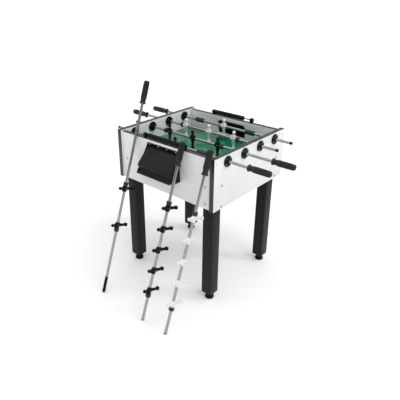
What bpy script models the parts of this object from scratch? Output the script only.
"""Foosball table: an open box on four legs, four fitted player rods, a score counter and a ball box
at each end, and three spare player rods leaning against the near end.

Metres, +Z up, floor at z = 0. Rods run along X. The near end is at -Y, the far end at +Y, and each
of the two ends is the other turned half a turn about Z.
"""

import math

import bmesh
import bpy
from mathutils import Matrix, Vector

GAP = 0.0003  # between two pieces that touch

# Cabinet: the side panels run the full length, and the end panels stand between them.
CABINET_WIDTH = 0.730
CABINET_LENGTH = 0.668
CABINET_TOP = 0.913
CABINET_BOTTOM = 0.615
SIDE_THICKNESS = 0.028
END_THICKNESS = 0.025
END_RECESS = 0.010  # end panel's outer face behind the side panels' ends
END_DROP = 0.007  # end panel's top below the side panels' tops
FIELD_TOP = 0.790
FIELD_THICKNESS = 0.012
GOAL_WIDTH = 0.222
GOAL_HEIGHT = 0.089
GOAL_CORNER_RADIUS = 0.025

# Legs and their levelling feet
LEG_SIZE = 0.067
FOOT_HEIGHT = 0.042
FOOT_PAD_RADIUS = 0.0265
FOOT_PAD_HEIGHT = 0.014
FOOT_NECK_RADIUS = 0.019
FOOT_EDGE = 0.003
STUD_RADIUS = 0.005
STUD_LENGTH = 0.030
STUD_END_ROOM = 0.004

# Player rods
ROD_RADIUS = 0.008
ROD_HEIGHT = 0.085  # axis above the field
ROD_PITCH = 0.150
ROD_STUB = 0.115  # plain end, past the side panel
GOALIE_HANDLE_REACH = 0.130  # from the side panel to the handle
FORWARD_HANDLE_REACH = 0.175
FORWARD_SPACING = 0.185

# Bearings in the side panels
BEARING_RADIUS = 0.030
BEARING_FLANGE = 0.008
BEARING_HUB_RADIUS = 0.0155
BEARING_HUB = 0.004
BEARING_SLEEVE_RADIUS = 0.0140

# Rubber bumpers
BUMPER_RADIUS = 0.0145
BUMPER_LENGTH = 0.019
GOALIE_BUMPER_LENGTH = 0.060
GOALIE_BUMPER_START = 0.166  # from the goalkeeper's middle

# Handles
HANDLE_LENGTH = 0.130
HANDLE_GUARD_RADIUS = 0.019
HANDLE_NECK_RADIUS = 0.0145
HANDLE_RADIUS = 0.017
HANDLE_GRIP_START = 0.034
HANDLE_END_WALL = 0.010

# Players: half widths and half depths at heights from the rod's axis, toes to crown
HUB_RADIUS = 0.0125
HUB_HALF_LENGTH = 0.0185
PLAYER_SECTIONS = (
    (-0.0725, 0.0100, 0.0105),
    (-0.0600, 0.0095, 0.0100),
    (-0.0520, 0.0065, 0.0050),
    (-0.0300, 0.0075, 0.0060),
    (-0.0130, 0.0105, 0.0080),
    (0.0120, 0.0160, 0.0105),
    (0.0210, 0.0110, 0.0070),
    (0.0255, 0.0050, 0.0050),
    (0.0310, 0.0085, 0.0090),
    (0.0410, 0.0095, 0.0105),
    (0.0470, 0.0055, 0.0060),
)

# Score counters on the end panels
COUNTER_LENGTH = 0.295  # between the posts' middles
COUNTER_POST_LENGTH = 0.021
COUNTER_POST_RADIUS = 0.0130
COUNTER_FOOT = 0.014
COUNTER_HEIGHT = 0.0175  # rail's axis above the end panel
COUNTER_RAIL_RADIUS = 0.003
BEADS = 10
BEAD_PITCH = 0.0225
BEAD_RADIUS = 0.014
BEAD_GROOVE = 0.002
BEAD_SHARE_NEAR = 0.7  # of the free way that the beads have left to their first post
BEAD_SHARE_FAR = 0.0

# Ball boxes: outline points are (out from the end panel, up from its lowest edge)
BOX_TOP_WIDTH = 0.236
BOX_BOTTOM_WIDTH = 0.260
BOX_WALL = 0.003
BOX_BOTTOM = 0.718
BOX_FRONT = (
    (0.004, 0.172),
    (0.004, 0.144),
    (0.074, 0.069),
    (0.079, 0.061),
    (0.079, 0.054),
    (0.074, 0.045),
    (0.0645, 0.021),
    (0.0645, 0.005),
    (0.0595, 0.0),
    (0.0, 0.0),
)
BOX_LIP = ((0.063, 0.0225), (0.0895, 0.0130), (0.0862, 0.0078), (0.063, 0.0160))

# Spare rods: each stands on its tip and leans on the near end. Like the fitted rods, they are as long
# as the cabinet is wide, with a stub, a reach to the handle and the handle.
DEFENCE_STUB = 0.1713
DEFENCE_HANDLE_REACH = 0.2460
DEFENCE_SPACING = 0.2255
MIDFIELD_STUB = 0.050
MIDFIELD_HANDLE_REACH = 0.104
MIDFIELD_SPACING = 0.1188
SLEEVE_RADIUS = 0.0092
SLEEVE_LENGTH = 0.098
SPARE_TIP_OUT = 0.336  # from the end panel
SPARE_AT_POST_TIP_OUT = 0.3445
SPARE_TIP_ROOM = 0.0002
SPARE_BESIDE_BOX = 0.0754
SPARE_BESIDE_BOX_SPREAD = 0.0094  # how much further from the box it is at the rail
SPARE_PAST_POST = 0.0075
SPARE_ON_CORNER = 0.004  # past the side panel's inner face
SPARE_ON_CORNER_SPREAD = 0.019

# Facets of the round pieces
ROUND = 12
SMALL_ROUND = 10

# Worked out from the sizes above
HALF_WIDTH = CABINET_WIDTH / 2
HALF_LENGTH = CABINET_LENGTH / 2
SIDE_INNER = HALF_WIDTH - SIDE_THICKNESS
END_OUTER = HALF_LENGTH - END_RECESS
END_INNER = END_OUTER - END_THICKNESS
END_TOP = CABINET_TOP - END_DROP
FIELD_BOTTOM = FIELD_TOP - FIELD_THICKNESS
ROD_Z = FIELD_TOP + ROD_HEIGHT
ROD_ENDS_Y = tuple((i - 1.5) * ROD_PITCH for i in range(4))
ROOM = 0.02  # how far a cutter runs past what it cuts

COLOURS = {
    "white laminate": ((0.80, 0.81, 0.81), 0.35, 0.0),
    "green field": ((0.03, 0.26, 0.15), 0.45, 0.0),
    "black laminate": ((0.020, 0.020, 0.020), 0.45, 0.0),
    "black plastic": ((0.014, 0.014, 0.014), 0.38, 0.0),
    "black rubber": ((0.016, 0.017, 0.017), 0.70, 0.0),
    "white plastic": ((0.82, 0.83, 0.82), 0.35, 0.0),
    "steel": ((0.55, 0.56, 0.56), 0.25, 1.0),
}
TEAM_MATERIALS = {"black": "black plastic", "white": "white plastic"}
WHOLE_TURN = 2 * math.pi
HALF_TURN = Matrix.Rotation(math.pi, 4, "Z")


# ---- Shapes: each returns a bmesh with one closed skin ----


def closed(bm):
    """The same bmesh with its faces pointing outward."""
    bmesh.ops.recalc_face_normals(bm, faces=bm.faces[:])
    return bm


def block(low, high):
    bm = bmesh.new()
    bmesh.ops.create_cube(bm, size=1.0)
    size = Vector(high) - Vector(low)
    bmesh.ops.scale(bm, vec=size, verts=bm.verts[:])
    bmesh.ops.translate(bm, vec=Vector(low) + size / 2, verts=bm.verts[:])
    return bm


def prism(outline, start, end):
    """An outline of (y, z) points extruded along X."""
    bm = bmesh.new()
    rings = [[bm.verts.new((x, y, z)) for y, z in outline] for x in (start, end)]
    return skin(bm, rings)


def skin(bm, rings):
    """Joins rings with as many points each, and closes the first and the last one."""
    for a, b in zip(rings, rings[1:]):
        count = len(a)
        for i in range(count):
            j = (i + 1) % count
            bm.faces.new((a[i], a[j], b[j], b[i]))
    bm.faces.new(rings[0])
    bm.faces.new(rings[-1])
    return closed(bm)


def turned(profile, facets, ring=False):
    """A profile of (x, radius) points turned about X. A ring's profile is a loop clear of the axis;
    any other profile starts and ends on the axis."""
    bm = bmesh.new()
    steps = [i * WHOLE_TURN / facets for i in range(facets)]
    rows = []
    for x, radius in profile:
        if radius == 0:
            rows.append([bm.verts.new((x, 0, 0))])
        else:
            rows.append([bm.verts.new((x, radius * math.cos(a), radius * math.sin(a))) for a in steps])
    pairs = list(zip(rows, rows[1:]))
    if ring:
        pairs.append((rows[-1], rows[0]))
    for a, b in pairs:
        for i in range(facets):
            j = (i + 1) % facets
            corners = [a[i % len(a)], a[j % len(a)], b[j % len(b)], b[i % len(b)]]
            unique = list(dict.fromkeys(corners))
            if len(unique) > 2:
                bm.faces.new(unique)
    return closed(bm)


def rod_shape(start, end, radius, facets):
    return turned(((start, 0), (start, radius), (end, radius), (end, 0)), facets)


def fitting_bore(radius, facets):
    """Corner radius of a faceted bore whose flats clear a shaft of this radius."""
    return (radius + GAP) / math.cos(math.pi / facets)


def thick_line(points, wall):
    """Outline of a wall whose one face follows the points and whose other face lies inside them."""
    inner = []
    for i, point in enumerate(points):
        before = Vector(points[max(i - 1, 0)])
        after = Vector(points[min(i + 1, len(points) - 1)])
        along = (after - before).normalized()
        inner.append(tuple(Vector(point) + Vector((along.y, -along.x)) * wall))
    return list(points) + inner[::-1]


# ---- Solids: meshes, some with unions and cuts, which objects then share ----


def solid(name, bm, unions=(), cuts=()):
    """A mesh made from one bmesh, with others joined to it or cut from it."""
    mesh = bpy.data.meshes.new(name)
    bm.to_mesh(mesh)
    bm.free()
    if not unions and not cuts:
        return mesh
    base = bpy.data.objects.new(name, mesh)
    bpy.context.scene.collection.objects.link(base)
    helpers = []
    for operation, shapes in (("UNION", unions), ("DIFFERENCE", cuts)):
        for shape in shapes:
            helper_mesh = bpy.data.meshes.new(name + "_helper")
            shape.to_mesh(helper_mesh)
            shape.free()
            helper = bpy.data.objects.new(name + "_helper", helper_mesh)
            helper.hide_render = True
            helper.display_type = "WIRE"
            bpy.context.scene.collection.objects.link(helper)
            helpers.append(helper)
            boolean = base.modifiers.new(operation.lower(), "BOOLEAN")
            boolean.operation = operation
            boolean.solver = "EXACT"
            boolean.object = helper
    evaluated = base.evaluated_get(bpy.context.evaluated_depsgraph_get())
    result = bpy.data.meshes.new_from_object(evaluated)
    for helper in helpers:
        bpy.data.objects.remove(helper)
    bpy.data.objects.remove(base)
    return result


def moved(bm, matrix):
    bmesh.ops.transform(bm, matrix=matrix, verts=bm.verts[:])
    return bm


def material(name):
    """The named material, made the first time that it is asked for."""
    found = bpy.data.materials.get(name)
    if found:
        return found
    colour, roughness, metallic = COLOURS[name]
    made = bpy.data.materials.new(name)
    made.use_nodes = True
    shader = made.node_tree.nodes["Principled BSDF"]
    shader.inputs["Base Color"].default_value = (*colour, 1.0)
    shader.inputs["Roughness"].default_value = roughness
    shader.inputs["Metallic"].default_value = metallic
    made.diffuse_color = (*colour, 1.0)
    return made


def empty(name, matrix, parent=None):
    made = bpy.data.objects.new(name, None)
    bpy.context.scene.collection.objects.link(made)
    made.parent = parent
    made.matrix_local = matrix
    return made


def place(name, mesh, material_name, parent, matrix=None, round_piece=False):
    """Puts a mesh into the scene as a named object with its own copy of the mesh."""
    piece = bpy.data.objects.new(name, mesh.copy())
    bpy.context.scene.collection.objects.link(piece)
    piece.parent = parent
    if matrix is not None:
        piece.matrix_local = matrix
    piece.data.materials.clear()
    piece.data.materials.append(material(material_name))
    if round_piece:
        piece.data.shade_smooth()
        piece.data.set_sharp_from_angle(angle=math.radians(35))
    return piece


# ---- Cabinet ----


def side_panel_mesh():
    """The +X side panel with a hole for each bearing's sleeve."""
    low = (SIDE_INNER, -HALF_LENGTH, CABINET_BOTTOM)
    high = (HALF_WIDTH, HALF_LENGTH, CABINET_TOP)
    radius = fitting_bore(BEARING_SLEEVE_RADIUS, ROUND)
    holes = []
    for y in ROD_ENDS_Y:
        hole = rod_shape(SIDE_INNER - ROOM, HALF_WIDTH + ROOM, radius, ROUND)
        holes.append(moved(hole, Matrix.Translation((0, y, ROD_Z))))
    return solid("side_panel", block(low, high), cuts=holes)


def goal_outline():
    """The goal's opening as (x, z) points, from the field up, with its two top corners rounded."""
    half, top, radius = GOAL_WIDTH / 2, FIELD_TOP + GOAL_HEIGHT, GOAL_CORNER_RADIUS
    points = [(-half, FIELD_TOP), (half, FIELD_TOP)]
    steps = 5
    for side, first in ((1, 0.0), (-1, math.pi / 2)):
        for i in range(steps + 1):
            angle = first + i * math.pi / 2 / steps
            x = side * (half - radius) + radius * math.cos(angle)
            points.append((x, top - radius + radius * math.sin(angle)))
    return points


def end_panel_mesh():
    """The near end panel, with the goal cut through it."""
    half = SIDE_INNER - GAP
    panel = block((-half, -END_OUTER, CABINET_BOTTOM), (half, -END_INNER, END_TOP))
    goal = prism(goal_outline(), -END_OUTER - ROOM, -END_INNER + ROOM)
    # The prism runs along X with its outline in Y and Z: turn it to run along Y.
    turn = Matrix(((0, 1, 0, 0), (1, 0, 0, 0), (0, 0, 1, 0), (0, 0, 0, 1)))
    return solid("end_panel", panel, cuts=[closed(moved(goal, turn))])


def build_cabinet(table):
    side = side_panel_mesh()
    place("side_panel_right", side, "white laminate", table)
    place("side_panel_left", side, "white laminate", table, HALF_TURN)
    end = end_panel_mesh()
    place("end_panel_near", end, "white laminate", table)
    place("end_panel_far", end, "white laminate", table, HALF_TURN)
    half_x, half_y = SIDE_INNER - GAP, END_INNER - GAP
    field = solid("field", block((-half_x, -half_y, FIELD_BOTTOM), (half_x, half_y, FIELD_TOP)))
    place("playfield", field, "green field", table)


def leg_mesh():
    """A leg about its own middle line, with a blind hole for the foot's stud."""
    half = LEG_SIZE / 2
    post = block((-half, -half, FOOT_HEIGHT + GAP), (half, half, FIELD_BOTTOM - GAP))
    radius = fitting_bore(STUD_RADIUS, SMALL_ROUND)
    hole = rod_shape(FOOT_HEIGHT - ROOM, FOOT_HEIGHT + STUD_LENGTH + STUD_END_ROOM, radius, SMALL_ROUND)
    return solid("leg", post, cuts=[moved(hole, upright())])


def upright():
    """Turns the X axis up to Z."""
    return Matrix.Rotation(-math.pi / 2, 4, "Y")


def foot_mesh():
    """A levelling foot: a round pad and neck, and the stud that screws into the leg."""
    pad = ((0, 0), (0, FOOT_PAD_RADIUS - FOOT_EDGE), (FOOT_EDGE, FOOT_PAD_RADIUS), (FOOT_PAD_HEIGHT, FOOT_PAD_RADIUS))
    neck = ((FOOT_PAD_HEIGHT + 2 * FOOT_EDGE, FOOT_NECK_RADIUS), (FOOT_HEIGHT, FOOT_NECK_RADIUS))
    stud_top = FOOT_HEIGHT + STUD_LENGTH
    stud = ((FOOT_HEIGHT, STUD_RADIUS), (stud_top, STUD_RADIUS), (stud_top, 0))
    return solid("foot", moved(turned(pad + neck + stud, ROUND), upright()))


def build_legs(table):
    leg, foot = leg_mesh(), foot_mesh()
    middle_x = SIDE_INNER - GAP - LEG_SIZE / 2
    middle_y = END_INNER - GAP - LEG_SIZE / 2
    for end_name, y in (("near", -middle_y), ("far", middle_y)):
        for side_name, x in (("left", -middle_x), ("right", middle_x)):
            spot = Matrix.Translation((x, y, 0))
            place(f"leg_{end_name}_{side_name}", leg, "black laminate", table, spot)
            place(f"foot_{end_name}_{side_name}", foot, "black plastic", table, spot, round_piece=True)


# ---- Bearings and rods ----


def bearing_mesh():
    """A bearing at the +X panel: a flange on each face, and a sleeve through the panel's hole."""
    bore = fitting_bore(ROD_RADIUS, ROUND)
    outer, inner = HALF_WIDTH + GAP, SIDE_INNER - GAP
    profile = (
        (outer + BEARING_FLANGE + BEARING_HUB, bore),
        (outer + BEARING_FLANGE + BEARING_HUB, BEARING_HUB_RADIUS),
        (outer + BEARING_FLANGE, BEARING_HUB_RADIUS),
        (outer + BEARING_FLANGE, BEARING_RADIUS),
        (outer, BEARING_RADIUS),
        (outer, BEARING_SLEEVE_RADIUS),
        (inner, BEARING_SLEEVE_RADIUS),
        (inner, BEARING_RADIUS),
        (inner - BEARING_FLANGE, BEARING_RADIUS),
        (inner - BEARING_FLANGE, bore),
    )
    return solid("bearing", turned(profile, ROUND, ring=True))


def handle_mesh():
    """A handle from x = 0 outward: a guard ring, a neck and a long grip over the rod's end."""
    bore = fitting_bore(ROD_RADIUS, ROUND)
    depth = HANDLE_LENGTH - HANDLE_END_WALL
    profile = (
        (depth, 0),
        (depth, bore),
        (0, bore),
        (0, HANDLE_GUARD_RADIUS - 0.001),
        (0.005, HANDLE_GUARD_RADIUS),
        (0.010, HANDLE_NECK_RADIUS),
        (0.022, HANDLE_NECK_RADIUS),
        (HANDLE_GRIP_START, HANDLE_RADIUS),
        (HANDLE_LENGTH - 0.030, HANDLE_RADIUS),
        (HANDLE_LENGTH - 0.006, HANDLE_RADIUS - 0.002),
        (HANDLE_LENGTH, HANDLE_RADIUS - 0.007),
        (HANDLE_LENGTH, 0),
    )
    return solid("handle", turned(profile, ROUND))


def bumper_mesh(length):
    """A rubber ring from x = 0 outward."""
    bore = fitting_bore(ROD_RADIUS, ROUND)
    profile = ((0, bore), (0, BUMPER_RADIUS), (length, BUMPER_RADIUS), (length, bore))
    return solid("bumper", turned(profile, ROUND, ring=True))


def player_shape():
    """A player's body about the rod's axis, facing +Y."""
    bm = bmesh.new()
    rings = []
    for z, half_x, half_y in PLAYER_SECTIONS:
        corners = ((-half_x, -half_y), (half_x, -half_y), (half_x, half_y), (-half_x, half_y))
        rings.append([bm.verts.new((x, y, z)) for x, y in corners])
    return skin(bm, rings)


def player_mesh():
    """A player with a boss along the rod, and the rod's bore through it."""
    hub = rod_shape(-HUB_HALF_LENGTH, HUB_HALF_LENGTH, HUB_RADIUS, ROUND)
    bore = fitting_bore(ROD_RADIUS, ROUND)
    hole = rod_shape(-HUB_HALF_LENGTH - ROOM, HUB_HALF_LENGTH + ROOM, bore, ROUND)
    return solid("player", player_shape(), unions=[hub], cuts=[hole])


def build_bearings(table):
    bearing = bearing_mesh()
    for number, y in enumerate(ROD_ENDS_Y, start=1):
        for side, turn in (("right", Matrix.Identity(4)), ("left", HALF_TURN)):
            spot = Matrix.Translation((0, y, ROD_Z)) @ turn
            place(f"bearing_{number}_{side}", bearing, "black plastic", table, spot, round_piece=True)


def build_rods(table):
    """Rods 1 and 2 are black with their handles at +X, rods 3 and 4 white with theirs at -X."""
    handle, player = handle_mesh(), player_mesh()
    goalie = {
        "players": (0.0,),
        "reach": GOALIE_HANDLE_REACH,
        "bumper_length": GOALIE_BUMPER_LENGTH,
        "bumper_start": GOALIE_BUMPER_START,
    }
    forward = {
        "players": (-FORWARD_SPACING, 0.0, FORWARD_SPACING),
        "reach": FORWARD_HANDLE_REACH,
        "bumper_length": BUMPER_LENGTH,
        "bumper_start": FORWARD_SPACING + HUB_HALF_LENGTH + GAP,
    }
    kinds = (goalie, forward, forward, goalie)
    for number, (y, kind) in enumerate(zip(ROD_ENDS_Y, kinds), start=1):
        team = "black" if number <= 2 else "white"
        turn = Matrix.Identity(4) if team == "black" else HALF_TURN
        axis = empty(f"rod_{number}_axis", Matrix.Translation((0, y, ROD_Z)) @ turn, table)
        handle_start = HALF_WIDTH + kind["reach"]
        tube_end = handle_start + HANDLE_LENGTH - HANDLE_END_WALL - GAP
        tube = solid("tube", rod_shape(-HALF_WIDTH - ROD_STUB, tube_end, ROD_RADIUS, ROUND))
        place(f"rod_{number}_tube", tube, "steel", axis, round_piece=True)
        grip = Matrix.Translation((handle_start, 0, 0))
        place(f"rod_{number}_handle", handle, "black plastic", axis, grip, round_piece=True)
        for index, x in enumerate(kind["players"], start=1):
            spot = Matrix.Translation((x, 0, 0))
            place(f"rod_{number}_player_{index}", player, TEAM_MATERIALS[team], axis, spot)
        bumper = bumper_mesh(kind["bumper_length"])
        for side, angle in (("handle", 0.0), ("plain", math.pi)):
            spot = Matrix.Rotation(angle, 4, "Z") @ Matrix.Translation((kind["bumper_start"], 0, 0))
            place(f"rod_{number}_bumper_{side}_side", bumper, "black rubber", axis, spot, round_piece=True)


# ---- Score counters ----


def counter_frame_mesh():
    """The rail and its two posts, about the rail's axis."""
    half = COUNTER_LENGTH / 2
    rail = rod_shape(-half, half, COUNTER_RAIL_RADIUS, SMALL_ROUND)
    posts = []
    for x in (-half, half):
        start, end = x - COUNTER_POST_LENGTH / 2, x + COUNTER_POST_LENGTH / 2
        posts.append(rod_shape(start, end, COUNTER_POST_RADIUS, ROUND))
        foot = COUNTER_FOOT / 2
        posts.append(block((x - foot, -foot, -COUNTER_HEIGHT + GAP), (x + foot, foot, 0)))
    return solid("counter_frame", rail, unions=posts)


def beads_mesh(count):
    """As many beads in a row, from x = 0."""
    bore = fitting_bore(COUNTER_RAIL_RADIUS, SMALL_ROUND)
    profile = [(0, bore), (0, BEAD_RADIUS - BEAD_GROOVE)]
    for i in range(count):
        profile.append(((i + 0.5) * BEAD_PITCH, BEAD_RADIUS))
        profile.append(((i + 1) * BEAD_PITCH, BEAD_RADIUS - BEAD_GROOVE))
    profile.append((count * BEAD_PITCH, bore))
    return solid("beads", turned(profile, SMALL_ROUND, ring=True))


def build_counters(table):
    frame, pack, lead = counter_frame_mesh(), beads_mesh(BEADS - 1), beads_mesh(1)
    middle_y = (END_OUTER + END_INNER) / 2
    z = END_TOP + COUNTER_HEIGHT
    first = COUNTER_LENGTH / 2 - COUNTER_POST_LENGTH / 2 - 2 * GAP
    free_way = 2 * first - BEADS * BEAD_PITCH - GAP
    for name, turn, share in (("near", HALF_TURN, BEAD_SHARE_NEAR), ("far", Matrix.Identity(4), BEAD_SHARE_FAR)):
        axis = empty(f"counter_{name}_axis", Matrix.Translation((0, 0, z)) @ turn, table)
        row = Matrix.Translation((-first + share * free_way, middle_y, 0))
        last = row @ Matrix.Translation(((BEADS - 1) * BEAD_PITCH + GAP, 0, 0))
        rail = Matrix.Translation((0, middle_y, 0))
        place(f"counter_{name}_rail", frame, "black plastic", axis, rail, round_piece=True)
        place(f"counter_{name}_beads", pack, "black plastic", axis, row, round_piece=True)
        place(f"counter_{name}_last_bead", lead, "black plastic", axis, last, round_piece=True)


# ---- Ball boxes ----


def ball_box_mesh():
    """The near ball box: a front and floor between two side walls, with a lip along the front. The box is open to
    the goal behind it, and widens evenly from its flange down to its lowest edge."""
    back = -END_OUTER - GAP

    def outward(points):
        return [(back - out, BOX_BOTTOM + up) for out, up in points]

    half = BOX_TOP_WIDTH / 2
    front = outward(thick_line(BOX_FRONT, BOX_WALL))
    # The front's top reaches back to the panel as its flange.
    flange = outward(((0, BOX_FRONT[0][1]), BOX_FRONT[0], BOX_FRONT[1], (0, BOX_FRONT[1][1])))
    side = outward(((0, BOX_FRONT[0][1]), *BOX_FRONT))
    walls = [
        prism(side, -half, -half + BOX_WALL),
        prism(side, half - BOX_WALL, half),
        prism(outward(BOX_LIP), -half, half),
        prism(flange, -half + BOX_WALL / 2, half - BOX_WALL / 2),
    ]
    box = solid("ball_box", prism(front, -half + BOX_WALL / 2, half - BOX_WALL / 2), unions=walls)
    height = BOX_FRONT[0][1]
    for vertex in box.vertices:
        share = (BOX_BOTTOM + height - vertex.co.z) / height
        vertex.co.x *= 1 + share * (BOX_BOTTOM_WIDTH / BOX_TOP_WIDTH - 1)
    return box


def build_ball_boxes(table):
    box = ball_box_mesh()
    place("ball_box_near", box, "black plastic", table)
    place("ball_box_far", box, "black plastic", table, HALF_TURN)


# ---- Spare rods ----


def spare_rods():
    """The three spare rods: their players' places along the rod, and where each stands and leans."""
    panel_edge = (-END_OUTER, END_TOP, 0.0)
    post = (-(END_OUTER + END_INNER) / 2, END_TOP + COUNTER_HEIGHT, COUNTER_POST_RADIUS)
    corner = (-HALF_LENGTH, CABINET_TOP, 0.0)
    defence_middle = DEFENCE_STUB + HALF_WIDTH
    midfield_middle = MIDFIELD_STUB + HALF_WIDTH
    midfield_players = tuple(midfield_middle + i * MIDFIELD_SPACING for i in (-2, -1, 0, 1, 2))
    midfield_length = MIDFIELD_STUB + CABINET_WIDTH + MIDFIELD_HANDLE_REACH + HANDLE_LENGTH
    beside_box = -BOX_BOTTOM_WIDTH / 2 - SPARE_BESIDE_BOX
    past_post = COUNTER_LENGTH / 2 + SPARE_PAST_POST
    at_corner = SIDE_INNER + SPARE_ON_CORNER
    return (
        {
            "name": "spare_defence_rod",
            "length": DEFENCE_STUB + CABINET_WIDTH + DEFENCE_HANDLE_REACH + HANDLE_LENGTH,
            "players": (defence_middle - DEFENCE_SPACING / 2, defence_middle + DEFENCE_SPACING / 2),
            "sleeve": SLEEVE_LENGTH,
            "tip_out": SPARE_TIP_OUT,
            "tip_x": beside_box + SPARE_BESIDE_BOX_SPREAD,
            "rail_x": beside_box,
            "rests_on": panel_edge,
        },
        {
            "name": "spare_midfield_rod_black",
            "length": midfield_length,
            "players": midfield_players,
            "sleeve": 0.0,
            "tip_out": SPARE_AT_POST_TIP_OUT,
            "tip_x": past_post,
            "rail_x": past_post,
            "rests_on": post,
        },
        {
            "name": "spare_midfield_rod_white",
            "length": midfield_length,
            "players": midfield_players,
            "sleeve": 0.0,
            "tip_out": SPARE_TIP_OUT,
            "tip_x": at_corner - SPARE_ON_CORNER_SPREAD,
            "rail_x": at_corner,
            "rests_on": corner,
        },
    )


def touching_radius(spare, along):
    """The spare rod's radius this far along it."""
    handle_start = spare["length"] - HANDLE_LENGTH
    if along < handle_start:
        return ROD_RADIUS
    if along < handle_start + HANDLE_GRIP_START:
        return HANDLE_GUARD_RADIUS
    return HANDLE_RADIUS


def lean(spare):
    """A spare rod's tip point, and its direction up to where it touches the cabinet."""
    edge_y, edge_z, edge_radius = spare["rests_on"]
    tip_y = -END_OUTER - spare["tip_out"]
    distance = math.hypot(edge_y - tip_y, edge_z)
    # The axis passes what it leans on at both radii, on the outer side.
    apart = touching_radius(spare, distance) + edge_radius + GAP
    angle = math.atan2(edge_y - tip_y, edge_z) - math.asin(apart / distance)
    tip_radius = SLEEVE_RADIUS if spare["sleeve"] else ROD_RADIUS
    tip = Vector((spare["tip_x"], tip_y, tip_radius * math.sin(angle) + SPARE_TIP_ROOM))
    across = (spare["rail_x"] - spare["tip_x"]) / (math.cos(angle) * distance)
    return tip, Vector((across, math.sin(angle), math.cos(angle))).normalized()


def spare_matrix(spare):
    """X runs up the rod, and the players' heads (Z) point away from the table."""
    tip, along = lean(spare)
    head = Vector((0, -along.z, along.y)).normalized()
    facing = head.cross(along)
    columns = Matrix((along, facing, head)).transposed()
    return Matrix.Translation(tip) @ columns.to_4x4()


def spare_rod_mesh(spare):
    """A spare rod with its players and bumpers as one piece, from its tip along X."""
    bumps = [(x - HUB_HALF_LENGTH, x + HUB_HALF_LENGTH, HUB_RADIUS) for x in spare["players"]]
    bumps.insert(0, (bumps[0][0] - BUMPER_LENGTH, bumps[0][0], BUMPER_RADIUS))
    bumps.append((bumps[-1][1], bumps[-1][1] + BUMPER_LENGTH, BUMPER_RADIUS))
    profile = [(0, 0)]
    if spare["sleeve"]:
        profile += [(0, SLEEVE_RADIUS), (spare["sleeve"], SLEEVE_RADIUS), (spare["sleeve"], ROD_RADIUS)]
    else:
        profile.append((0, ROD_RADIUS))
    for start, end, radius in bumps:
        if profile[-1] == (start, ROD_RADIUS):
            profile.pop()
        else:
            profile.append((start, ROD_RADIUS))
        profile += [(start, radius), (end, radius), (end, ROD_RADIUS)]
    tube_end = spare["length"] - HANDLE_END_WALL - GAP
    profile += [(tube_end, ROD_RADIUS), (tube_end, 0)]
    bodies = [moved(player_shape(), Matrix.Translation((x, 0, 0))) for x in spare["players"]]
    return solid(spare["name"], turned(profile, ROUND), unions=bodies)


def build_spare_rods(table):
    handle = handle_mesh()
    for spare in spare_rods():
        axis = empty(spare["name"] + "_axis", spare_matrix(spare), table)
        place(spare["name"], spare_rod_mesh(spare), "steel", axis)
        grip = Matrix.Translation((spare["length"] - HANDLE_LENGTH, 0, 0))
        place(spare["name"] + "_handle", handle, "black plastic", axis, grip, round_piece=True)


def outermost_y():
    """The lowest and the highest y of the object about the table's own middle."""
    low = 0.0
    for spare in spare_rods():
        tip, along = lean(spare)
        radius = SLEEVE_RADIUS if spare["sleeve"] else ROD_RADIUS
        low = min(low, tip.y - radius * along.z)
    high = END_OUTER + GAP + max(out for out, up in BOX_LIP)
    return low, high


def main():
    for old in list(bpy.data.objects):
        bpy.data.objects.remove(old)
    low, high = outermost_y()
    table = empty("table", Matrix.Translation((0, -(low + high) / 2, 0)))
    build_cabinet(table)
    build_legs(table)
    build_bearings(table)
    build_rods(table)
    build_counters(table)
    build_ball_boxes(table)
    build_spare_rods(table)


main()
